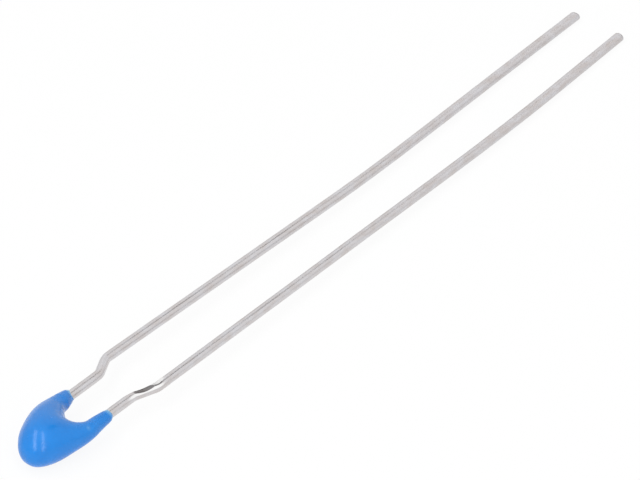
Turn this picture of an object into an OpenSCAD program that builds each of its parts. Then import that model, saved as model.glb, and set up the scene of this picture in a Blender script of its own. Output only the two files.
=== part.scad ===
// Leaded NTC thermistor: a ceramic disc soldered between two tinned wires and dipped in blue epoxy.
// Everything is laid out flat first: both leads in the plane z = 0, heads down along -Y, tips along +Y,
// with the coating's rim at y = 0. The whole part is then tipped so that it lies as it comes to rest,
// on the belly of the coating and on the two lead tips.

/* [Wire leads] */
// Diameter of the tinned wire
wire_d = 0.5; // [0.4:0.05:0.6]
// Distance between the leads where they leave the coating
lead_pitch = 2.5; // [2.3:0.05:3]
// Length of the leads beyond the coating's rim
lead_length = 40; // [32:1:50]
// Radius of the bends in the kinks, at the middle of the wire
kink_bend_r = 0.7; // [0.5:0.1:1]
// Chamfer that the cutter leaves round each tip
tip_chamfer = 0.06; // [0.02:0.01:0.1]

/* [Left lead beyond the coating] */
// Distance from the rim to the foot of the kink
left_kink_start = 2.25; // [1.5:0.05:4]
// Length of the kink along the lead
left_kink_rise = 1.15; // [0.9:0.05:2]
// Step outwards in the kink
left_kink_step = 0.5; // [0.2:0.02:0.7]
// Angle at which the lead runs back toward its neighbour
left_toe_in = 1.5; // [0:0.1:2]
// Distance from the rim to the middle of the gentle bow
left_bow_at = 23; // [14:1:26]
// Radius of the bow
left_bow_r = 110; // [60:10:200]
// Turn of the bow, away from the other lead
left_bow_turn = 2.7; // [0.5:0.1:3]

/* [Right lead beyond the coating] */
// Distance from the rim to the foot of the kink
right_kink_start = 1.95; // [1.5:0.05:4]
// Length of the kink along the lead
right_kink_rise = 1.3; // [0.9:0.05:2]
// Step outwards in the kink
right_kink_step = 0.36; // [0.2:0.02:0.7]
// Angle at which the lead runs away from its neighbour
right_toe_out = 0; // [0:0.1:1]
// Distance from the rim to the middle of the gentle bow
right_bow_at = 30.5; // [14:0.5:32]
// Radius of the bow
right_bow_r = 180; // [60:10:200]
// Turn of the bow, toward the other lead
right_bow_turn = 2.8; // [0.5:0.1:3]

/* [Epoxy coating] */
// Length of the coating from its rim to its round end
head_length = 4.98; // [4.5:0.02:6]
// Width of the body, where its outline is widest
head_width = 3.2; // [3:0.05:3.6]
// Fullness of the body's outline: 2 is an ellipse, more is squarer
head_fullness = 2.25; // [2:0.05:2.8]
// Thickness of the body at its belly
head_thickness = 2.26; // [2.2:0.02:3.2]
// How quickly the body swells from the sleeves to the belly
belly_swell = 1.25; // [1.2:0.05:1.6]
// How far the thickest place lies toward the round end
belly_drop = 0.04; // [0:0.02:0.2]
// Depth of the saddle between the sleeves
saddle_depth = 0.8; // [0.6:0.05:1]
// Length of the sleeve that runs up the left lead
left_sleeve_length = 0.68; // [0.4:0.02:1.2]
// Wall of the left sleeve where it joins the body
left_sleeve_wall = 0.21; // [0.12:0.01:0.3]
// Slant of the left rim, higher on its outer side
left_rim_slant = 0.16; // [0:0.02:0.2]
// Lean of the left rim, lower on top than underneath
left_rim_lean = 0.12; // [0:0.02:0.2]
// Length of the sleeve that runs up the right lead
right_sleeve_length = 1.26; // [0.4:0.02:1.4]
// Wall of the right sleeve where it joins the body
right_sleeve_wall = 0.13; // [0.12:0.01:0.3]
// Slant of the right rim, higher on its outer side
right_rim_slant = 0.02; // [0:0.02:0.2]
// Lean of the right rim, lower on top than underneath
right_rim_lean = 0.1; // [0:0.02:0.2]
// Thickness of the film at the rim
rim_film = 0.04; // [0.02:0.01:0.08]
// How the sleeves flare from the film: less than 1 thickens soon, 1 evenly
sleeve_flare = 0.65; // [0.5:0.05:1]

/* [Ceramic disc] */
// Diameter of the disc
disc_d = 1.6; // [1.5:0.05:1.8]
// Thickness of the disc
disc_t = 0.7; // [0.5:0.05:0.8]
// Distance from the coating's round end to the disc's edge
disc_cover = 0.6; // [0.45:0.05:0.7]
// Chamfer round the disc
disc_chamfer = 0.05; // [0.02:0.01:0.1]
// Bare ceramic left round each electrode
electrode_margin = 0.08; // [0.04:0.01:0.1]
// Thickness of each silver electrode
electrode_t = 0.03; // [0.02:0.01:0.05]

/* [Solder joints] */
// Solder between the wire and the electrode
solder_gap = 0.04; // [0.02:0.01:0.08]
// Width of the fillet on each side of the wire
fillet_w = 0.14; // [0.1:0.01:0.14]
// Height of the fillet up the wire, as a share of the wire's diameter
fillet_climb = 0.7; // [0.5:0.05:0.9]
// Length of wire that lies flat on the disc
land_length = 1; // [0.9:0.05:1.2]
// Distance of each wire's flat stretch from the disc's centre line
land_offset = 0.2; // [0.1:0.02:0.2]
// Radius of the bends inside the coating, at the middle of the wire
inner_bend_r = 0.5; // [0.4:0.05:0.6]
// Length of the slope from the disc's face to the sleeve
inner_rise = 1.05; // [0.95:0.05:1.2]
// Bare wire left between each joint and the wire's first bend
solder_setback = 0.06; // [0.04:0.01:0.1]

/* [Hidden] */
$fn = 48;

wire_r = wire_d / 2;
half_pitch = lead_pitch / 2;
ring_points = 32;       // points round each section of the coating
sleeve_sections = 9;    // sections along each sleeve
body_sections = 40;     // sections round the saddle, from sleeve to sleeve
fillet_steps = 8;
bend_overlap = 0.04;    // length by which a bend runs into the straight stretches beside it
bend_draw = 0.004;      // a bend is drawn thinner than the wire by this much, so that it passes inside them

// Places along Y, measured from the rim
disc_y = disc_cover + disc_d / 2 - head_length;
land_end = disc_y - land_length / 2;

// Height of each wire's middle above the middle of the disc, where it lies on an electrode
electrode_z = disc_t / 2 + electrode_t;
land_z = electrode_z + solder_gap + wire_r;

// Straight length that a bend takes from each side of its corner
function tangent(r, angle) = r * tan(abs(angle) / 2);

// The slope that each wire follows from the disc's face out to its sleeve
slope_offset = norm([half_pitch - land_offset, land_z]);
slope_angle = atan(slope_offset / inner_rise);
slope_tangent = tangent(inner_bend_r, slope_angle);
sleeve_end = land_end + land_length + inner_rise + 2 * slope_tangent;

// The wire's route is a list of steps: [straight length, bend radius, bend angle, roll of the bend].
// Roll 0 bends toward +X, 180 toward -X, and the wire starts along +Y.
// side is -1 for the left lead on the front of the disc and 1 for the right lead on its back.
function inner_steps(side) = let (
    roll = atan2(side * -land_z, side * (half_pitch - land_offset))
) [
    [land_length, inner_bend_r, slope_angle, roll],
    [norm([slope_offset, inner_rise]) - 2 * slope_tangent, inner_bend_r, slope_angle, roll + 180],
];

function outer_steps(side, kink_start, rise, step, after, bow_at, bow_r, bow_turn) = let (
    slope = atan(step / rise),
    back = slope - after,
    out_roll = side > 0 ? 0 : 180,
    foot = tangent(kink_bend_r, slope),
    head = tangent(kink_bend_r, back),
    bow = tangent(bow_r, bow_turn),
    run = (bow_at - kink_start - rise) / cos(after),
    last = (lead_length - bow_at) / cos(bow_turn - abs(after))
) [
    [kink_start - sleeve_end - foot, kink_bend_r, slope, out_roll],
    [norm([rise, step]) - foot - head, kink_bend_r, back, out_roll + 180],
    [run - head - bow, bow_r, bow_turn, 180],
    [last - bow - tip_chamfer, 0, 0, 0],
];

left_outer = outer_steps(-1, left_kink_start, left_kink_rise, left_kink_step, -left_toe_in,
    left_bow_at, left_bow_r, left_bow_turn);
right_outer = outer_steps(1, right_kink_start, right_kink_rise, right_kink_step, right_toe_out,
    right_bow_at, right_bow_r, right_bow_turn);

// One closed ring of the coating, an egg-shaped section between an inner and an outer point
function ring(inner, outer, half_thickness, egg, slant = 0, lean = 0) = let (
    middle = (inner + outer) / 2,
    reach = (outer - inner) / 2
) [
    for (k = [0:ring_points - 1]) let (a = 360 * k / ring_points) [
        middle.x + reach.x * cos(a),
        middle.y + (reach.y + slant) * cos(a) - lean * sin(a),
        half_thickness * sin(a) * (1 + egg * cos(a))
    ]
];

// Rings along a sleeve, from its rim down to the body
function sleeve_rings(side, length, wall, slant, lean) = [
    for (i = [0:sleeve_sections - 1]) let (
        t = i / sleeve_sections,
        r = wire_r + rim_film + (wall - rim_film) * pow(t, sleeve_flare),
        y = -length * t
    ) ring([side * (half_pitch - r), y], [side * (half_pitch + r), y], r, 0, slant * (1 - t), lean * (1 - t))
];

function fuller(x) = sign(x) * pow(abs(x), 2 / head_fullness);

// Rings round the saddle, from the left sleeve through the body to the right sleeve
function body_rings() = [
    for (i = [0:body_sections]) let (
        a = 180 * i / body_sections,
        across = (1 - cos(a)) / 2,
        blend = across * across * (3 - 2 * across),
        r = wire_r + left_sleeve_wall + (right_sleeve_wall - left_sleeve_wall) * blend,
        top = -left_sleeve_length - (right_sleeve_length - left_sleeve_length) * blend,
        half_width = head_width / 2 + (half_pitch + r - head_width / 2) * (1 - sin(a)),
        middle_top = -(left_sleeve_length + right_sleeve_length) / 2,
        inner = [-(half_pitch - r) * cos(a), top - saddle_depth * sin(a)],
        outer = [-half_width * fuller(cos(a)), top - (head_length + middle_top) * fuller(sin(a))]
    ) ring(inner, outer, r + (head_thickness / 2 - r) * pow(sin(a), belly_swell), belly_drop * sin(a))
];

function reversed(list) = [for (i = [len(list) - 1:-1:0]) list[i]];

coating_rings = concat(
    sleeve_rings(-1, left_sleeve_length, left_sleeve_wall, left_rim_slant, left_rim_lean),
    body_rings(),
    reversed(sleeve_rings(1, right_sleeve_length, right_sleeve_wall, right_rim_slant, right_rim_lean))
);
coating_points = [for (r = coating_rings) each r];

// At rest the belly's lowest point and the underside of the tips are level
belly_z = min([for (p = coating_points) p.z]);
belly_y = [for (p = coating_points) if (p.z == belly_z) p.y][0];
rest_tilt = atan((-wire_r - belly_z) / (lead_length - tip_chamfer - belly_y));
rest_height = -belly_z * cos(rest_tilt) + belly_y * sin(rest_tilt);
middle_y = (lead_length - head_length) / 2;

module at_rest() {
    translate([0, -middle_y, rest_height])
    rotate([-rest_tilt, 0, 0])
    children();
}

// Bend of the wire from +Z toward +X, starting at the origin
module elbow(r, angle) {
    overlap_angle = bend_overlap / r * 180 / PI;
    translate([r, 0, 0])
    rotate([90, 0, 180])
    rotate([0, 0, -overlap_angle])
    rotate_extrude(angle = angle + 2 * overlap_angle)
    translate([r, 0])
    circle(r = wire_r - bend_draw);
}

// Follows the steps one after another, and ends with what is passed to it
module wire(steps, i = 0) {
    if (i < len(steps)) {
        step = steps[i];
        cylinder(h = step[0], r = wire_r);
        translate([0, 0, step[0]])
        if (step[2] == 0) {
            children();
        } else {
            rotate([0, 0, step[3]]) {
                elbow(step[1], step[2]);
                translate([step[1], 0, 0])
                rotate([0, step[2], 0])
                translate([-step[1], 0, 0])
                rotate([0, 0, -step[3]])
                wire(steps, i + 1) children();
            }
        }
    }
}

module lead(side, outer) {
    translate([side * land_offset, land_end, side * -land_z])
    rotate([-90, 0, 0])
    wire(concat(inner_steps(side), outer))
    cylinder(h = tip_chamfer, r1 = wire_r, r2 = wire_r - tip_chamfer);
}

module lead_left() {
    color("silver")
    at_rest()
    lead(-1, left_outer);
}

module lead_right() {
    color("silver")
    at_rest()
    lead(1, right_outer);
}

module disc_blank() {
    translate([0, disc_y, 0])
    rotate_extrude()
    polygon([
        [0, -disc_t / 2],
        [disc_d / 2 - disc_chamfer, -disc_t / 2],
        [disc_d / 2, -disc_t / 2 + disc_chamfer],
        [disc_d / 2, disc_t / 2 - disc_chamfer],
        [disc_d / 2 - disc_chamfer, disc_t / 2],
        [0, disc_t / 2],
    ]);
}

module ntc_disc() {
    color("dimgray")
    at_rest()
    disc_blank();
}

// The round silver layer on the front face. A root deepens it into the disc.
module electrode(root = 0) {
    translate([0, disc_y, disc_t / 2 - root])
    cylinder(h = electrode_t + root, r = disc_d / 2 - electrode_margin);
}

module electrode_front() {
    color("gainsboro")
    at_rest()
    electrode();
}

module electrode_back() {
    color("gainsboro")
    at_rest()
    mirror([0, 0, 1])
    electrode();
}

// Half section of a solder joint: a concave fillet that climbs the side of the wire.
// A root deepens it into what it is soldered to.
module fillet_half(root) {
    height = solder_gap + wire_d * fillet_climb;
    foot = wire_r + fillet_w;
    inner = wire_r * 0.9;
    polygon(concat(
        [[0, -root], [foot, -root]],
        [
            for (i = [0:fillet_steps]) let (a = 90 * i / fillet_steps)
                [foot - (foot - inner) * sin(a), height * (1 - cos(a))]
        ],
        [[0, height]]
    ));
}

// Solder under and beside the flat stretch of a wire on the front face, rounded at both ends
module solder_mound(side, root = 0) {
    run = land_length - wire_d - fillet_w - solder_setback;
    translate([side * land_offset, land_end + wire_r, electrode_z])
    rotate([-90, 0, 0])
    mirror([0, 1, 0]) {
        linear_extrude(run)
        union() {
            fillet_half(root);
            mirror([1, 0, 0])
            fillet_half(root);
        }
        for (z = [0, run])
            translate([0, 0, z])
            rotate([-90, 0, 0])
            rotate_extrude()
            fillet_half(root);
    }
}

module solder_front() {
    color("lightgray")
    at_rest()
    difference() {
        solder_mound(-1);
        lead(-1, left_outer);
    }
}

module solder_back() {
    color("lightgray")
    at_rest()
    difference() {
        mirror([0, 0, 1])
        solder_mound(1);
        lead(1, right_outer);
    }
}

module coating_form() {
    n = ring_points;
    last = len(coating_rings) - 1;
    sides = [
        for (i = [0:last - 1], k = [0:n - 1]) let (
            a = i * n + k,
            b = i * n + (k + 1) % n
        ) each [[a, b, b + n], [a, b + n, a + n]]
    ];
    caps = [
        [for (k = [n - 1:-1:0]) k],
        [for (k = [0:n - 1]) last * n + k],
    ];
    polyhedron(points = coating_points, faces = concat(sides, caps));
}

// All that the coating surrounds, rooted into each other so that they leave one hollow
module dipped_parts() {
    disc_blank();
    for (face = [0, 1])
        mirror([0, 0, face]) {
            electrode(disc_t / 4);
            solder_mound(face * 2 - 1, disc_t / 4);
        }
    lead(-1, left_outer);
    lead(1, right_outer);
}

module epoxy_coating() {
    color("dodgerblue")
    at_rest()
    difference() {
        coating_form();
        dipped_parts();
    }
}

epoxy_coating();
ntc_disc();
electrode_front();
electrode_back();
solder_front();
solder_back();
lead_left();
lead_right();
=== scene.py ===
# A blue bead thermistor on a white bench, lying on its belly and its two lead tips.
import math

import bpy
from mathutils import Matrix, Vector, noise


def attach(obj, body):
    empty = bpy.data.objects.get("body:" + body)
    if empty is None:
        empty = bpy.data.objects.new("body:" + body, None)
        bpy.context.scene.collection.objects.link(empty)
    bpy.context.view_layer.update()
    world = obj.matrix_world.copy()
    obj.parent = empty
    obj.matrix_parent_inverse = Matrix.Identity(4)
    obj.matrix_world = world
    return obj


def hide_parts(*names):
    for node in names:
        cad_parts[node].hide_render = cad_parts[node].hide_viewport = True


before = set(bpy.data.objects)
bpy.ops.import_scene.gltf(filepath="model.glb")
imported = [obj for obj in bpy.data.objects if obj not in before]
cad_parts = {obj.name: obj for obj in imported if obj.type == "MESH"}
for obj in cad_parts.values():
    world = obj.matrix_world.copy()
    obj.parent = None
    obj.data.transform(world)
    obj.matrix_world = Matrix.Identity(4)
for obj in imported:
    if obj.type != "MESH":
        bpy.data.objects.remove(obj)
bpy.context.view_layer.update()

mm = 0.001
wireRadius = 0.25           # sizes in the dictionaries below are in millimetres and degrees
halfPitch = 1.25
sharpTurn = 55              # an edge that turns more than this stays sharp

# long lens, looking down from the head's end and from the right
cameraSetup = {
    "azimuth": 38.877,
    "elevation": 38.0,
    "distance": 1000,
    "pixelsPerMm": 20.508,
    "aim": (0, 0, 0),
    "aimPixel": (317.2, 248.53),  # where the aim shows in a frame 640 by 480
    "frame": (640, 480),
    "sensor": 36,
    "clip": (0.05, 20),           # metres
}


def makeCamera(setup):
    az, el = math.radians(setup["azimuth"]), math.radians(setup["elevation"])
    back = Vector((math.sin(az) * math.cos(el), -math.cos(az) * math.cos(el), math.sin(el)))
    side = Vector((math.cos(az), math.sin(az), 0))
    up = back.cross(side)
    data = bpy.data.cameras.new("benchCamera")
    data.sensor_width = setup["sensor"]
    data.lens = setup["sensor"] * setup["distance"] * setup["pixelsPerMm"] / setup["frame"][0]
    data.clip_start, data.clip_end = setup["clip"]
    camera = bpy.data.objects.new("benchCamera", data)
    offX = (setup["aimPixel"][0] - setup["frame"][0] / 2) / setup["pixelsPerMm"]
    offY = (setup["aimPixel"][1] - setup["frame"][1] / 2) / setup["pixelsPerMm"]
    centre = Vector(setup["aim"]) - side * offX + up * offY
    camera.location = (centre + back * setup["distance"]) * mm
    camera.rotation_mode = "QUATERNION"
    camera.rotation_quaternion = back.to_track_quat("Z", "Y")
    bpy.context.scene.collection.objects.link(camera)
    bpy.context.scene.camera = camera


makeCamera(cameraSetup)
print("camera placed")

# how the flat layout is tipped so that the part lies on its belly and its tips
restPose = {"middle": 17.51, "tilt": 1.1639, "height": 1.0612}


def atRest():
    lift = Matrix.Translation((0, -restPose["middle"], restPose["height"]))
    return lift @ Matrix.Rotation(math.radians(-restPose["tilt"]), 4, "X")


# the leads stand a little closer together where they leave the coat than beyond their kinks
drawnTogether = {"left": 0.060, "right": -0.080, "sideBlend": 0.6, "from": (-1.7, -0.5), "to": (1.7, 3.3)}


def drawIn(point):
    setup = drawnTogether
    share = smoothStep(point.y, *setup["from"]) * (1 - smoothStep(point.y, *setup["to"]))
    side = smoothStep(point.x, -setup["sideBlend"], setup["sideBlend"])
    shift = setup["left"] + (setup["right"] - setup["left"]) * side
    return Vector((point.x + shift * share, point.y, point.z))


def meshFrom(name, points, faces, material):
    mesh = bpy.data.meshes.new(name)
    mesh.from_pydata([tuple(p * mm) for p in points], [], faces)
    mesh.update()
    mesh.polygons.foreach_set("use_smooth", [True] * len(mesh.polygons))
    mesh.set_sharp_from_angle(angle=math.radians(sharpTurn))
    mesh.materials.append(material)
    piece = bpy.data.objects.new(name, mesh)
    bpy.context.scene.collection.objects.link(piece)
    return piece


def loftFaces(count, across):
    faces = []
    for i in range(count - 1):
        for k in range(across):
            a, b = i * across + k, i * across + (k + 1) % across
            faces.append((a, b, b + across, a + across))
    faces.append(tuple(reversed(range(across))))
    faces.append(tuple((count - 1) * across + k for k in range(across)))
    return faces


def storeFloats(piece, name, values):
    layer = piece.data.attributes.new(name, "FLOAT", "POINT")
    layer.data.foreach_set("value", values)


def storeVectors(piece, name, values):
    layer = piece.data.attributes.new(name, "FLOAT_VECTOR", "POINT")
    layer.data.foreach_set("vector", [c * mm for v in values for c in v])


def smoothStep(x, low=0.0, high=1.0):
    x = max(0.0, min(1.0, (x - low) / (high - low)))
    return x * x * (3 - 2 * x)


def bell(away, width):
    return math.exp(-(away / width) ** 2)


def angleAt(k, across):
    # where point k of a ring stands, when so many points go round the ring
    return 2 * math.pi * k / across


# materials

def newMaterial(name):
    material = bpy.data.materials.new(name)
    material.use_nodes = True
    nodes = material.node_tree.nodes
    nodes.clear()
    output = nodes.new("ShaderNodeOutputMaterial")
    shader = nodes.new("ShaderNodeBsdfPrincipled")
    material.node_tree.links.new(shader.outputs["BSDF"], output.inputs["Surface"])
    return material, shader


def setInput(tree, socket, value):
    if isinstance(value, bpy.types.NodeSocket):
        tree.links.new(value, socket)
    else:
        socket.default_value = value


def addNode(owner, kind, inputs=None, **settings):
    node = owner.node_tree.nodes.new(kind)
    for key, value in settings.items():
        setattr(node, key, value)
    for key, value in (inputs or {}).items():
        setInput(owner.node_tree, node.inputs[key], value)
    return node


def ramp(owner, factor, stops):
    node = addNode(owner, "ShaderNodeValToRGB", {"Fac": factor})
    elements = node.color_ramp.elements
    elements[0].position, elements[0].color = stops[0]
    elements[1].position, elements[1].color = stops[-1]
    for place, colour in stops[1:-1]:
        elements.new(place).color = colour
    return node.outputs["Color"]


def greyRamp(owner, factor, stops):
    return ramp(owner, factor, [(place, (value, value, value, 1)) for place, value in stops])


def mixColour(owner, factor, first, second):
    # this node's colour sockets share their names with others, so they are picked by number
    node = addNode(owner, "ShaderNodeMix", data_type="RGBA")
    for index, value in ((0, factor), (6, first), (7, second)):
        setInput(owner.node_tree, node.inputs[index], value)
    return node.outputs[2]


def calculate(owner, operation, *values):
    node = addNode(owner, "ShaderNodeMath", operation=operation)
    for index, value in enumerate(values):
        setInput(owner.node_tree, node.inputs[index], value)
    return node.outputs["Value"]


def scaled(owner, source, scale):
    return addNode(owner, "ShaderNodeMapping", {"Vector": source, "Scale": scale}).outputs["Vector"]


def noiseAt(owner, place, size, detail, rough):
    node = addNode(owner, "ShaderNodeTexNoise", {
        "Vector": place, "Scale": 1 / size, "Detail": detail, "Roughness": rough})
    return node.outputs["Fac"]


def bumpOn(owner, height, depth, under=None):
    inputs = {"Height": height, "Distance": depth * mm, "Strength": 1.0}
    if under:
        inputs["Normal"] = under
    return addNode(owner, "ShaderNodeBump", inputs).outputs["Normal"]


def attributeOf(owner, name):
    return addNode(owner, "ShaderNodeAttribute", attribute_name=name)


def ownPlace(owner):
    # where the point is in millimetres, which the textures below are sized in
    return scaled(owner, addNode(owner, "ShaderNodeTexCoord").outputs["Object"], (1 / mm,) * 3)


epoxyLook = {
    "deep": (0.006, 0.206, 0.665, 1),
    "pale": (0.008, 0.226, 0.705, 1),
    "film": (0.330, 0.700, 0.860, 1),  # thin coat on bare wire; the same colour also lays a painted highlight on each rim's lit side and a painted glint on the right sleeve
    "mottleSize": 1.1,
    "hazeSize": 0.35,
    "roughness": (0.19, 0.29),
    "waveSize": 0.8,
    "waveDepth": 0.012,
    "pitSize": 0.09,
    "pitDepth": 0.002,
    "ior": 1.46,
}


def makeEpoxy(look):
    material, shader = newMaterial("blueEpoxy")
    place = ownPlace(material)
    mottle = noiseAt(material, place, look["mottleSize"], detail=3, rough=0.55)
    tone = ramp(material, mottle, [(0.35, look["deep"]), (0.68, look["pale"])])
    # film: pale thin coat near the rims, plus a painted highlight on each rim's lit side and a painted glint
    # on the right sleeve
    film = attributeOf(material, "film").outputs["Fac"]
    tree = material.node_tree
    tree.links.new(mixColour(material, film, tone, look["film"]), shader.inputs["Base Color"])
    haze = noiseAt(material, place, look["hazeSize"], detail=4, rough=0.6)
    glossy, dull = look["roughness"]
    tree.links.new(greyRamp(material, haze, [(0.3, glossy), (0.75, dull)]), shader.inputs["Roughness"])
    wave = noiseAt(material, place, look["waveSize"], detail=1, rough=0.4)
    pits = noiseAt(material, place, look["pitSize"], detail=2, rough=0.5)
    normal = bumpOn(material, wave, look["waveDepth"])
    tree.links.new(bumpOn(material, pits, look["pitDepth"], under=normal), shader.inputs["Normal"])
    shader.inputs["IOR"].default_value = look["ior"]
    return material


tinLook = {
    "warm": (0.600, 0.560, 0.550, 1),
    "cool": (0.660, 0.650, 0.670, 1),
    "stain": (0.420, 0.385, 0.370, 1),
    # painted highlight on the burnished flats: the tin is lightened so that the flat reads as lit
    "paintedHighlight": (0.930, 0.925, 0.920, 1),
    "paintedDarkReflection": (0.050, 0.040, 0.038, 1),  # painted dark reflection laid on the pressed flats of the kinks
    "streakWidth": 0.035,
    "streakLength": 2.5,
    "streakDepth": 0.0035,
    "blotchSize": 0.30,
    "blotchStretch": 0.35,
    "grainSize": 0.05,
    "grainStretch": 0.5,
    "grainDepth": 0.0012,
    "roughness": (0.22, 0.36),
    "dullerTip": 0.20,
    "shinierMark": 0.20,
}


def makeTin(look):
    material, shader = newMaterial("tinnedWire")
    tree = material.node_tree
    place = scaled(material, attributeOf(material, "alongWire").outputs["Vector"], (1 / mm,) * 3)
    stretch = look["streakWidth"] / look["streakLength"]
    drawn = scaled(material, place, (1, stretch, 1))
    streaks = noiseAt(material, drawn, look["streakWidth"], detail=3, rough=0.6)
    drawn = scaled(material, place, (1, look["blotchStretch"], 1))
    blotch = noiseAt(material, drawn, look["blotchSize"], detail=4, rough=0.6)
    drawn = scaled(material, place, (1, look["grainStretch"], 1))
    grain = noiseAt(material, drawn, look["grainSize"], detail=3, rough=0.6)
    pressedAndPaintedDark = attributeOf(material, "pressedAndPaintedDark").outputs["Fac"]
    paintedHighlightMask = attributeOf(material, "paintedHighlightMask").outputs["Fac"]
    toTip = attributeOf(material, "toTip").outputs["Fac"]
    tone = ramp(material, blotch, [(0.36, look["warm"]), (0.62, look["cool"])])
    stains = greyRamp(material, grain, [(0.48, 0.0), (0.75, 0.45)])
    tone = mixColour(material, calculate(material, "MULTIPLY", stains, toTip), tone, look["stain"])
    # painted dark reflection on the pressed flats, broken up by the drawn streaks
    paintedDark = greyRamp(material, pressedAndPaintedDark, [(0.40, 0.0), (0.80, 0.9)])
    streaksInPaintedDark = greyRamp(material, streaks, [(0.25, 0.5), (0.6, 1.0)])
    tone = mixColour(material, calculate(material, "MULTIPLY", paintedDark, streaksInPaintedDark), tone, look["paintedDarkReflection"])
    # painted highlight on the burnished flats
    tone = mixColour(material, paintedHighlightMask, tone, look["paintedHighlight"])
    tree.links.new(tone, shader.inputs["Base Color"])
    glossy, dull = look["roughness"]
    rough = greyRamp(material, streaks, [(0.3, glossy), (0.7, dull)])
    duller = calculate(material, "MULTIPLY", toTip, look["dullerTip"])
    shinier = calculate(material, "MULTIPLY", pressedAndPaintedDark, look["shinierMark"])
    rough = calculate(material, "SUBTRACT", calculate(material, "ADD", rough, duller), shinier)
    tree.links.new(rough, shader.inputs["Roughness"])
    normal = bumpOn(material, streaks, look["streakDepth"])
    normal = bumpOn(material, grain, look["grainDepth"], under=normal)
    tree.links.new(normal, shader.inputs["Normal"])
    shader.inputs["Metallic"].default_value = 1
    return material


blueEpoxy = makeEpoxy(epoxyLook)
tinnedWire = makeTin(tinLook)
print("materials made")

# leads: each one is a run of straight stretches and round bends, swept with a fine ring
innerRoute = {
    "landLength": 1.0, "landOffset": 0.2, "landHeight": 0.67, "discMiddle": -3.58,
    "bendRadius": 0.5, "rise": 1.05,
}
leadShape = {
    "length": 40, "kinkBend": 0.7,
    # rings of the mesh, finer near the coat
    "across": 88, "step": 0.16, "fineStep": 0.035, "fineRun": 4.2, "slowBend": 5, "bendRings": 6,
    # unevenness of drawn and hand-straightened wire
    "wander": 0.012, "wanderLength": 7, "wanderFrom": (0.16, 0.30), "wanderEnd": 6, "wanderUp": 0.5,
    "swelling": 0.0025, "swellingLength": 0.9, "dullFrom": 0.3,
    "markTaper": 1.8, "markFade": 0.4,
    # sheared tips
    "tipRound": 0.05, "tipTrim": 0.08, "tipRings": 4,
    "faceRings": 4, "faceCentre": 0.1, "faceRelief": 0.008, "faceReliefSize": 0.09, "faceGrain": 0.2,
}
# A mark is a flat pressed into the wire. It runs between two places, measured from the rim, and faces so
# many degrees from straight up towards +X. Its dark share lays painted dark reflection and makes it
# smoother; its highlight share lays a painted highlight.
# A lead's kink starts this far from the rim, and past it the wire runs at the angle "after" to its own line.
leadLeft = {
    "name": "tinnedLeadLeft", "node": "lead_left", "side": -1, "seed": 3.1,
    "kinkStart": 2.25, "kinkRise": 1.15, "kinkStep": 0.5, "after": -1.5,
    "bowAt": 23, "bowRadius": 110, "bowTurn": 2.7,
    "marks": [{"from": 3.0, "to": 3.9, "faces": -60, "depth": 0.020, "paintedDark": 0.3, "paintedHighlightShare": 0.0}],
    "tipFaces": -52, "tipSlant": 0.05, "tipWorn": 0.10,
}
leadRight = {
    "name": "tinnedLeadRight", "node": "lead_right", "side": 1, "seed": 8.7,
    "kinkStart": 1.95, "kinkRise": 1.3, "kinkStep": 0.36, "after": 0,
    "bowAt": 30.5, "bowRadius": 180, "bowTurn": 2.8,
    "marks": [
        {"from": 1.30, "to": 3.35, "faces": -46, "depth": 0.078, "paintedDark": 0.8, "paintedHighlightShare": 0.0},
        {"from": 1.70, "to": 3.25, "faces": 12, "depth": 0.066, "paintedDark": 1.0, "paintedHighlightShare": 0.0},
        {"from": 2.65, "to": 3.95, "faces": -20, "depth": 0.045, "paintedDark": 0.0, "paintedHighlightShare": 1.0},
        {"from": 1.05, "to": 3.90, "faces": 46, "depth": 0.020, "paintedDark": 0.0, "paintedHighlightShare": 1.0},
        {"from": 2.40, "to": 3.70, "faces": 12, "depth": 0.018, "paintedDark": 1.0, "paintedHighlightShare": 0.0},
    ],
    "tipFaces": -44, "tipSlant": 0.03, "tipWorn": 0.06,
}


def tangentLength(radius, angle):
    return radius * math.tan(math.radians(abs(angle)) / 2)


def leadSteps(lead):
    # straight length, bend radius, bend angle, roll of the bend
    inner, side = innerRoute, lead["side"]
    across = halfPitch - inner["landOffset"]
    slopeOffset = math.hypot(across, inner["landHeight"])
    slope = math.degrees(math.atan(slopeOffset / inner["rise"]))
    roll = math.degrees(math.atan2(-side * inner["landHeight"], side * across))
    cut = tangentLength(inner["bendRadius"], slope)
    landEnd = inner["discMiddle"] - inner["landLength"] / 2
    sleeveEnd = landEnd + inner["landLength"] + inner["rise"] + 2 * cut
    kink = math.degrees(math.atan(lead["kinkStep"] / lead["kinkRise"]))
    back = kink - lead["after"]
    kinkRun = math.hypot(lead["kinkRise"], lead["kinkStep"])
    outRoll = 0 if side > 0 else 180
    foot = tangentLength(leadShape["kinkBend"], kink)
    head = tangentLength(leadShape["kinkBend"], back)
    bow = tangentLength(lead["bowRadius"], lead["bowTurn"])
    run = (lead["bowAt"] - lead["kinkStart"] - lead["kinkRise"]) / math.cos(math.radians(lead["after"]))
    lastAngle = math.radians(lead["bowTurn"] - abs(lead["after"]))
    last = (leadShape["length"] - lead["bowAt"]) / math.cos(lastAngle)
    return [
        (inner["landLength"], inner["bendRadius"], slope, roll),
        (math.hypot(slopeOffset, inner["rise"]) - 2 * cut, inner["bendRadius"], slope, roll + 180),
        (lead["kinkStart"] - sleeveEnd - foot, leadShape["kinkBend"], kink, outRoll),
        (kinkRun - foot - head, leadShape["kinkBend"], back, outRoll + 180),
        (run - head - bow, lead["bowRadius"], lead["bowTurn"], 180),
        (last - bow, 0, 0, 0),
    ]


def turn(axis, angle):
    return Matrix.Rotation(math.radians(angle), 3, axis)


def splitRun(length, fine):
    # a long straight is split finely for its first few millimetres and coarsely after that
    near = min(length, leadShape["fineRun"]) if fine else 0
    nearCount = round(near / leadShape["fineStep"])
    farCount = round((length - near) / leadShape["step"])
    places = [near * (i + 1) / nearCount for i in range(nearCount)]
    return places + [near + (length - near) * (i + 1) / farCount for i in range(farCount)]


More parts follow.
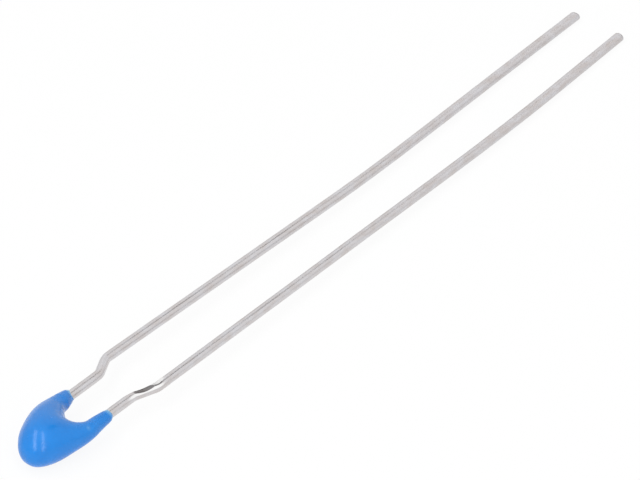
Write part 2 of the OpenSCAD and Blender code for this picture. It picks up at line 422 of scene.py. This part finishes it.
def leadStations(lead):
    # list of (distance from the start, middle, 3 by 3 frame whose third column runs along the wire)
    side = lead["side"]
    facing = turn("X", -90)
    landEnd = innerRoute["discMiddle"] - innerRoute["landLength"] / 2
    spot = Vector((side * innerRoute["landOffset"], landEnd, -side * innerRoute["landHeight"]))
    stations, gone = [(0.0, spot.copy(), facing.copy())], 0.0
    for straight, radius, angle, roll in leadSteps(lead):
        along = facing @ Vector((0, 0, 1))
        for place in splitRun(straight, radius and spot.y < leadShape["fineRun"]):
            stations.append((gone + place, spot + along * place, facing.copy()))
        gone, spot = gone + straight, spot + along * straight
        if angle:
            rolled = facing @ turn("Z", roll)
            arc = radius * math.radians(angle)
            step = leadShape["fineStep"] if radius < leadShape["slowBend"] else leadShape["step"]
            count = max(leadShape["bendRings"], round(arc / step))
            start = spot.copy()
            for i in range(1, count + 1):
                part = angle * i / count
                swing = math.radians(part)
                bent = Vector((radius - radius * math.cos(swing), 0, radius * math.sin(swing)))
                spot = start + rolled @ bent
                facing = rolled @ turn("Y", part) @ turn("Z", -roll)
                stations.append((gone + arc * i / count, spot.copy(), facing.copy()))
            gone += arc
    return stations, gone


def wandering(lead, gone, total):
    # slow drift of a hand-straightened wire, none inside the coat and none at the tip
    first, last = leadShape["wanderFrom"]
    share = smoothStep(gone, total * first, total * last)
    share *= smoothStep(total - gone, 0, leadShape["wanderEnd"])
    place = gone / leadShape["wanderLength"]
    sideways = noise.noise(Vector((place, lead["seed"], 0)))
    upwards = leadShape["wanderUp"] * noise.noise(Vector((place, 0, lead["seed"])))
    return share * leadShape["wander"] * Vector((sideways, 0, upwards))


def wireRing(lead, gone, spot, facing, total):
    # points, and for each point its share of painted dark reflection and of painted highlight from the marks
    shape, points, pressedAndPaintedDark, paintedHighlightMask = leadShape, [], [], []
    swell = shape["swelling"] * noise.noise(Vector((gone / shape["swellingLength"], 0, lead["seed"])))
    middle = spot + wandering(lead, gone, total)
    for k in range(shape["across"]):
        a = angleAt(k, shape["across"])
        offset = Vector((math.cos(a), math.sin(a), 0)) * (wireRadius + swell)
        paintedDarkAmount = paintedHighlightShare = 0.0
        for mark in lead["marks"]:
            along = (spot.y - mark["from"]) / (mark["to"] - mark["from"])
            share = math.sin(math.pi * max(0.0, min(1.0, along))) ** shape["markTaper"]
            faces = math.radians(mark["faces"] - 90)
            way = Vector((math.cos(faces), math.sin(faces), 0))
            limit = wireRadius - mark["depth"] * share
            over = offset.dot(way) - limit
            if share > 0 and over > 0:
                offset -= way * over
                inside = smoothStep(share, 0, shape["markFade"])
                inside *= smoothStep(over / (mark["depth"] * share), 0, shape["markFade"])
                # how much painted dark reflection and painted highlight this mark lays here
                paintedDarkAmount = max(paintedDarkAmount, mark["paintedDark"] * inside)
                paintedHighlightShare = max(paintedHighlightShare, mark["paintedHighlightShare"] * inside)
        points.append(middle + facing @ offset)
        pressedAndPaintedDark.append(paintedDarkAmount)
        paintedHighlightMask.append(paintedHighlightShare)
    return points, pressedAndPaintedDark, paintedHighlightMask


def tipRings(lead, spot, facing):
    # sheared end: a worn edge on one side, a slanting cut face with a slight relief
    shape, rings = leadShape, []
    along = facing @ Vector((0, 0, 1))
    faces = math.radians(lead["tipFaces"] - 90)
    for step in range(shape["tipRings"]):
        share = step / (shape["tipRings"] - 1)
        ring = []
        for k in range(shape["across"]):
            a = angleAt(k, shape["across"])
            lean = (1 + math.cos(a - faces)) / 2
            edge = shape["tipRound"] + lead["tipWorn"] * lean ** 2
            r = wireRadius - edge * share
            back = -edge * (1 - share) - lead["tipSlant"] * lean - shape["tipTrim"]
            ring.append(spot + along * back + facing @ Vector((math.cos(a) * r, math.sin(a) * r, 0)))
        rings.append(ring)
    lastRing = rings[-1]
    middle = sum(lastRing, Vector()) / len(lastRing)
    for i in range(1, shape["faceRings"] + 1):
        share = 1 - (1 - shape["faceCentre"]) * i / shape["faceRings"]
        ring = []
        for point in lastRing:
            point = middle + (point - middle) * share
            relief = noise.noise(point / shape["faceReliefSize"] + Vector((lead["seed"], 0, 0)))
            ring.append(point + along * shape["faceRelief"] * relief)
        rings.append(ring)
    return rings


def makeLead(lead):
    stations, total = leadStations(lead)
    rest, across = atRest(), leadShape["across"]
    points, straightened, pressedAndPaintedDark, paintedHighlightMask, toTip = [], [], [], [], []

    def addRing(ring, gone, paintedDarkAmount, paintedHighlightShare, width=wireRadius, grain=1.0):
        for k, point in enumerate(ring):
            a = angleAt(k, across)
            points.append(rest @ drawIn(point))
            unbent = Vector((math.cos(a) * width + lead["seed"], gone, math.sin(a) * width * grain))
            straightened.append(unbent)
            toTip.append(smoothStep(gone, total * leadShape["dullFrom"], total))
        pressedAndPaintedDark.extend(paintedDarkAmount)
        paintedHighlightMask.extend(paintedHighlightShare)

    tipRun = leadShape["tipRound"] + leadShape["tipTrim"] + lead["tipWorn"] + lead["tipSlant"]
    for gone, spot, facing in stations:
        if gone < total - tipRun:
            ring, paintedDarkAmount, paintedHighlightShare = wireRing(lead, gone, spot, facing, total)
            addRing(ring, gone, paintedDarkAmount, paintedHighlightShare)
    plain = [0.0] * across
    for ring in tipRings(lead, stations[-1][1], stations[-1][2]):
        width = (ring[0] - ring[across // 2]).length / 2
        addRing(ring, total, plain, plain, width, leadShape["faceGrain"])
    piece = meshFrom(lead["name"], points, loftFaces(len(points) // across, across), tinnedWire)
    storeVectors(piece, "alongWire", straightened)
    storeFloats(piece, "pressedAndPaintedDark", pressedAndPaintedDark)
    storeFloats(piece, "paintedHighlightMask", paintedHighlightMask)
    storeFloats(piece, "toTip", toTip)
    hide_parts(lead["node"])
    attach(piece, "root")


for lead in (leadLeft, leadRight):
    makeLead(lead)
print("leads made")

# epoxy coat: one loft. It starts deep in the right wire's channel, climbs to the rim, turns over the
# lip, runs down the right sleeve, round the saddle, up the left sleeve and down the other channel.
coatShape = {
    # the drop and the saddle between its sleeves
    "length": 4.98, "width": 3.2, "fullness": 2.25, "thickness": 2.26, "swell": 1.25, "drop": 0.04,
    "saddle": 0.8, "film": 0.04, "flare": 0.65, "lipTaper": 0.7, "lipUnder": 0.004,
    # rings of the mesh
    "across": 128, "sleeveRings": 36, "bodyRings": 190, "lipRings": 6, "channelTop": -0.45,
    # pale thin coat near the rims, with a painted highlight on the side each rim faces, and how far down the
    # sleeves they stand outwards
    "palerRim": 0.45, "palerRun": 0.16, "palerBehind": 0.25, "outwardRun": (0.2, 1.0),
    # relief of the dipped skin
    "clearOfBench": 0.3, "fatter": 0.015, "bumpReach": 3, "lumpDepth": 0.012, "lumpSize": 0.9,
    "ripple": 0.003, "rippleSize": 0.25, "rippleShift": (5, 0, 0),
    # a painted glint: a pale spot on the right sleeve that stands in for a small reflection
    "paintedGlintSpot": {"at": (1.454, -1.82, 0.43), "size": 0.10, "film": 0.25},
    "bumps": [
        {"at": (-0.82, -0.36, 0.00), "size": 0.14, "height": 0.015},
        {"at": (-0.38, -1.60, 0.38), "size": 0.34, "height": 0.050},
        {"at": (1.46, -1.64, 0.40), "size": 0.14, "height": -0.030},
        {"at": (-1.42, -2.35, 0.48), "size": 0.95, "height": 0.066},
        {"at": (0.05, -4.75, -0.60), "size": 0.70, "height": 0.065},
        {"at": (1.50, -1.70, -0.30), "size": 0.95, "height": 0.058},
    ],
}
leftSleeve = {
    "lead": leadLeft, "length": 0.68, "wall": 0.21, "slant": 0.16, "lean": 0.12, "outward": 0.030,
    "lip": 0.10, "paintedHighlightFaces": 39, "ragged": 0.030, "raggedSize": 0.30, "scoops": [],
}
rightSleeve = {
    "lead": leadRight, "length": 1.26, "wall": 0.13, "slant": 0.02, "lean": 0.10, "outward": 0.032,
    "lip": 0.13, "paintedHighlightFaces": 130, "ragged": 0.030, "raggedSize": 0.25,
    "scoops": [(-25, 45, 0.14)],    # where the edge stops short: angle round the wire, spread, depth
}


def fuller(x):
    return math.copysign(abs(x) ** (2 / coatShape["fullness"]), x)


def coatRing(inner, outer, halfThick, egg=0.0, slant=0.0, lean=0.0):
    middle, reach = (inner + outer) / 2, (outer - inner) / 2
    ring = []
    for k in range(coatShape["across"]):
        a = angleAt(k, coatShape["across"])
        ring.append(Vector((
            middle.x + reach.x * math.cos(a),
            middle.y + (reach.y + slant) * math.cos(a) - lean * math.sin(a),
            halfThick * math.sin(a) * (1 + egg * math.cos(a)))))
    return ring


def channelRings(sleeve):
    # where the coat meets the wire, from the wire's inner end up towards the rim
    side, rings = sleeve["lead"]["side"], []
    for _, spot, facing in leadStations(sleeve["lead"])[0]:
        if spot.y < coatShape["channelTop"]:
            ring = []
            for k in range(coatShape["across"]):
                a = angleAt(k, coatShape["across"])
                onWire = Vector((side * wireRadius * math.cos(a), -wireRadius * math.sin(a), 0))
                ring.append(spot + facing @ onWire)
            rings.append(ring)
    return rings


def raggedEdge(sleeve, k):
    a = angleAt(k, coatShape["across"])
    place = Vector((math.cos(a), math.sin(a), 0)) * wireRadius / sleeve["raggedSize"]
    edge = sleeve["ragged"] * noise.noise(place + Vector((0, 0, sleeve["lead"]["seed"])))
    for angle, spread, depth in sleeve["scoops"]:
        away = math.remainder(a - math.radians(angle), 2 * math.pi)
        edge -= depth * bell(away, math.radians(spread))
    return edge


def turnedTo(k, angle):
    # 1 where a ring's point looks towards the angle, 0 on the far side
    return (1 + math.cos(angleAt(k, coatShape["across"]) - math.radians(angle))) / 2


def sleeveRings(sleeve):
    # lip and sleeve from the wire's surface down to the body, with each ring's paleness: thin coat all round
    # and a painted highlight on the side the rim faces
    shape, side, rings, filmAndPaintedHighlight = coatShape, sleeve["lead"]["side"], [], []
    levels = []
    for i in range(shape["lipRings"]):
        s = 1 - i / shape["lipRings"]
        wall = shape["film"] * (1 - s) ** shape["lipTaper"] - shape["lipUnder"] * s
        levels.append((sleeve["lip"] * s, wall, 0.0, s))
    for i in range(shape["sleeveRings"]):
        t = i / shape["sleeveRings"]
        wall = shape["film"] + (sleeve["wall"] - shape["film"]) * t ** shape["flare"]
        levels.append((-sleeve["length"] * t, wall, t, 0.0))
    for y, wall, t, thin in levels:
        r = wireRadius + wall
        out = halfPitch + sleeve["outward"] * (1 - smoothStep(t, *shape["outwardRun"])) * (1 - thin)
        inner, outer = Vector((side * (out - r), y)), Vector((side * (out + r), y))
        ring = coatRing(inner, outer, r, 0, sleeve["slant"] * (1 - t), sleeve["lean"] * (1 - t))
        for k, point in enumerate(ring):
            point.y += raggedEdge(sleeve, k) * (1 - t) ** 2
        rings.append(ring)
        # thin coat all round the rim, and on the side it faces a painted highlight
        paleness = max(thin, shape["palerRim"] * (1 - smoothStep(t, 0, shape["palerRun"])))
        behind = shape["palerBehind"]
        filmAndPaintedHighlight.append([paleness * (behind + (1 - behind) * turnedTo(k, sleeve["paintedHighlightFaces"]))
                      for k in range(shape["across"])])
    return rings, filmAndPaintedHighlight


def bodyRings():
    shape, rings = coatShape, []
    for i in range(shape["bodyRings"] + 1):
        a = math.pi * i / shape["bodyRings"]
        blend = smoothStep((1 - math.cos(a)) / 2)
        swing = max(0.0, math.sin(a))
        r = wireRadius + leftSleeve["wall"] + (rightSleeve["wall"] - leftSleeve["wall"]) * blend
        top = -leftSleeve["length"] - (rightSleeve["length"] - leftSleeve["length"]) * blend
        halfWidth = shape["width"] / 2 + (halfPitch + r - shape["width"] / 2) * (1 - swing)
        middleTop = -(leftSleeve["length"] + rightSleeve["length"]) / 2
        inner = Vector((-(halfPitch - r) * math.cos(a), top - shape["saddle"] * swing))
        reach = (shape["length"] + middleTop) * fuller(swing)
        outer = Vector((-halfWidth * fuller(math.cos(a)), top - reach))
        halfThick = r + (shape["thickness"] / 2 - r) * swing ** shape["swell"]
        rings.append(coatRing(inner, outer, halfThick, shape["drop"] * swing))
    return rings


def coatRelief(place, normal, near):
    # small lumps of a hand-dipped coat, near 0 on the thin lip and where it rests on the bench
    shape = coatShape
    depth = near * (shape["fatter"] + shape["lumpDepth"] * noise.noise(place / shape["lumpSize"]))
    depth += near * shape["ripple"] * noise.noise(place / shape["rippleSize"] + Vector(shape["rippleShift"]))
    for bump in shape["bumps"]:
        away = (place - Vector(bump["at"])).length
        if away < bump["size"] * shape["bumpReach"]:
            depth += near * bump["height"] * bell(away, bump["size"])
    return normal * depth


def makeCoat(shape):
    rest, across = atRest(), shape["across"]
    leftRings, leftFilmAndPaintedHighlight = sleeveRings(leftSleeve)
    rightRings, rightFilmAndPaintedHighlight = sleeveRings(rightSleeve)
    body = bodyRings()
    leftChannel, rightChannel = channelRings(leftSleeve), channelRings(rightSleeve)
    rings = rightChannel + rightRings + body[::-1] + leftRings[::-1] + leftChannel[::-1]
    plain = [0.0] * across
    ringFilmAndPaintedHighlight = [plain] * len(rightChannel) + rightFilmAndPaintedHighlight + [plain] * len(body)
    ringFilmAndPaintedHighlight += leftFilmAndPaintedHighlight[::-1] + [plain] * len(leftChannel)
    flat = [p for ring in rings for p in ring]
    # the painted glint is mixed into the pale film
    spot = shape["paintedGlintSpot"]
    filmAndPaintedHighlight = [max(film, spot["film"] * bell((p - Vector(spot["at"])).length, spot["size"]))
             for film, p in zip([film for ring in ringFilmAndPaintedHighlight for film in ring], flat)]
    piece = meshFrom("blueCoat", [rest @ drawIn(p) for p in flat], loftFaces(len(rings), across), blueEpoxy)
    normals = [vertex.normal.copy() for vertex in piece.data.vertices]
    places = [vertex.co.copy() for vertex in piece.data.vertices]
    for i in range(len(rightChannel), len(rings) - len(leftChannel)):
        for index in range(i * across, (i + 1) * across):
            near = (1 - filmAndPaintedHighlight[index]) * smoothStep(places[index].z / mm, 0, shape["clearOfBench"])
            places[index] += coatRelief(flat[index], normals[index], near) * mm
    piece.data.vertices.foreach_set("co", [c for place in places for c in place])
    piece.data.update()
    storeFloats(piece, "film", filmAndPaintedHighlight)
    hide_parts("epoxy_coating")
    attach(piece, "root")


makeCoat(coatShape)
print("coat made")

# the pieces that the coat hides keep their own shapes and get their own finishes
innerFinishes = [
    {
        "name": "sinteredOxide", "nodes": ["ntc_disc"],
        "first": (0.030, 0.026, 0.025, 1), "second": (0.065, 0.058, 0.055, 1),
        "grainSize": 0.03, "grainDepth": 0.002, "roughness": (0.6, 0.8), "metallic": 0,
    },
    {
        "name": "firedSilver", "nodes": ["electrode_front", "electrode_back"],
        "first": (0.70, 0.68, 0.63, 1), "second": (0.82, 0.81, 0.78, 1),
        "grainSize": 0.02, "grainDepth": 0.001, "roughness": (0.35, 0.55), "metallic": 1,
    },
    {
        "name": "softSolder", "nodes": ["solder_front", "solder_back"],
        "first": (0.52, 0.52, 0.53, 1), "second": (0.64, 0.64, 0.65, 1),
        "grainSize": 0.08, "grainDepth": 0.004, "roughness": (0.2, 0.4), "metallic": 1,
    },
]


def makeInnerFinish(look):
    material, shader = newMaterial(look["name"])
    tree = material.node_tree
    grain = noiseAt(material, ownPlace(material), look["grainSize"], detail=4, rough=0.6)
    tone = ramp(material, grain, [(0.35, look["first"]), (0.65, look["second"])])
    tree.links.new(tone, shader.inputs["Base Color"])
    smooth, rough = look["roughness"]
    tree.links.new(greyRamp(material, grain, [(0.3, smooth), (0.7, rough)]), shader.inputs["Roughness"])
    tree.links.new(bumpOn(material, grain, look["grainDepth"]), shader.inputs["Normal"])
    shader.inputs["Metallic"].default_value = look["metallic"]
    for node in look["nodes"]:
        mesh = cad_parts[node].data
        mesh.materials.clear()
        mesh.materials.append(material)


for finish in innerFinishes:
    makeInnerFinish(finish)
print("inner finishes set")

# bench, world and lamps
studio = {
    "benchSize": 3.0,
    "benchWhite": (0.95, 0.95, 0.95, 1),
    "benchGlow": 0.91,
    "worldLight": 0.5,
    "gapLight": 0.03,       # a dark slot between the diffusers, mirrored as a dark line along the wires
    "gapMiddle": -0.03,
    "gapHalfWidth": (0.07, 0.16),
    "gapStart": (0.42, 0.60),
    "gapEnd": (0.63, 0.81),
    "lowLight": 0.72,       # what the wires and the coat mirror of the walls low down
    "lowTo": 0.35,
    "stripDistance": 0.5,
    # each strip is seen from the part between two directions, and plain white has light 1
    "strips": [
        {
            "name": "lampLeft", "width": 0.13, "light": 3.7,
            "from": (-0.53, 0.02, 0.85), "to": (0.39, -0.88, 0.27),
        },
        {
            "name": "lampRight", "width": 0.10, "light": 3.5,
            "from": (-0.14, 0.13, 0.96), "to": (0.80, -0.49, 0.04),
        },
    ],
}


def seenDirectly(owner):
    path = addNode(owner, "ShaderNodeLightPath")
    seen = calculate(owner, "ADD", path.outputs["Is Camera Ray"], path.outputs["Is Glossy Ray"])
    seen = calculate(owner, "ADD", seen, path.outputs["Is Transmission Ray"])
    return calculate(owner, "MINIMUM", seen, 1.0)


def makeBench(setup):
    material = bpy.data.materials.new("benchPaper")
    material.use_nodes = True
    tree = material.node_tree
    tree.nodes.clear()
    output = addNode(material, "ShaderNodeOutputMaterial")
    paper = addNode(material, "ShaderNodeBsdfDiffuse", {"Color": setup["benchWhite"]})
    glow = addNode(material, "ShaderNodeEmission", {"Color": (1, 1, 1, 1), "Strength": 1.0})
    share = calculate(material, "MULTIPLY", seenDirectly(material), setup["benchGlow"])
    both = addNode(material, "ShaderNodeMixShader", {"Fac": share})
    tree.links.new(paper.outputs["BSDF"], both.inputs[1])
    tree.links.new(glow.outputs["Emission"], both.inputs[2])
    tree.links.new(both.outputs["Shader"], output.inputs["Surface"])
    half = setup["benchSize"] / 2 / mm
    corners = [Vector((x * half, y * half, 0)) for x, y in ((-1, -1), (1, -1), (1, 1), (-1, 1))]
    meshFrom("benchSheet", corners, [(0, 1, 2, 3)], material)


def easeBetween(owner, value, low, high, first, last):
    node = addNode(owner, "ShaderNodeMapRange", {
        "Value": value, "From Min": low, "From Max": high, "To Min": first, "To Max": last},
        interpolation_type="SMOOTHSTEP")
    return node.outputs["Result"]


def makeWorld(setup):
    world = bpy.data.worlds.new("studioWorld")
    bpy.context.scene.world = world
    world.use_nodes = True
    world.node_tree.nodes.clear()
    output = addNode(world, "ShaderNodeOutputWorld")
    way = addNode(world, "ShaderNodeTexCoord").outputs["Generated"]
    parts = addNode(world, "ShaderNodeSeparateXYZ", {"Vector": way}).outputs
    aside = calculate(world, "SUBTRACT", parts["X"], setup["gapMiddle"])
    inSlot = easeBetween(world, calculate(world, "ABSOLUTE", aside), *setup["gapHalfWidth"], 1.0, 0.0)
    started = easeBetween(world, parts["Y"], *setup["gapStart"], 0.0, 1.0)
    inSlot = calculate(world, "MULTIPLY", inSlot, started)
    notEnded = easeBetween(world, parts["Y"], *setup["gapEnd"], 1.0, 0.0)
    inSlot = calculate(world, "MULTIPLY", inSlot, notEnded)
    darkened = calculate(world, "MULTIPLY", inSlot, 1.0 - setup["gapLight"])
    low = easeBetween(world, parts["Z"], 0.0, setup["lowTo"], setup["lowLight"], 1.0)
    mirrored = calculate(world, "MULTIPLY", calculate(world, "SUBTRACT", 1.0, darkened), low)
    glossy = addNode(world, "ShaderNodeLightPath").outputs["Is Glossy Ray"]
    taken = calculate(world, "MULTIPLY", glossy, calculate(world, "SUBTRACT", 1.0, mirrored))
    strength = calculate(world, "MULTIPLY", seenDirectly(world), 1.0 - setup["worldLight"])
    strength = calculate(world, "ADD", strength, setup["worldLight"])
    strength = calculate(world, "SUBTRACT", strength, taken)
    sky = addNode(world, "ShaderNodeBackground", {"Color": (1, 1, 1, 1), "Strength": strength})
    world.node_tree.links.new(sky.outputs["Background"], output.inputs["Surface"])


def makeStrip(setup, strip):
    distance = setup["stripDistance"]
    first, last = (Vector(strip[key]).normalized() for key in ("from", "to"))
    away = (first + last).normalized()
    long = (last - first - away * (last - first).dot(away)).normalized()
    data = bpy.data.lights.new(strip["name"], "AREA")
    data.shape = "RECTANGLE"
    data.size = distance * 2 * math.tan(first.angle(last) / 2)
    data.size_y = distance * strip["width"] * 2
    data.energy = strip["light"] * math.pi * data.size * data.size_y
    lamp = bpy.data.objects.new(strip["name"], data)
    turned = Matrix((long, away.cross(long), away)).transposed().to_4x4()
    lamp.matrix_world = Matrix.Translation(away * distance) @ turned
    bpy.context.scene.collection.objects.link(lamp)


makeBench(studio)
makeWorld(studio)
for strip in studio["strips"]:
    makeStrip(studio, strip)
bpy.context.scene.view_settings.view_transform = "Standard"
print("studio set")
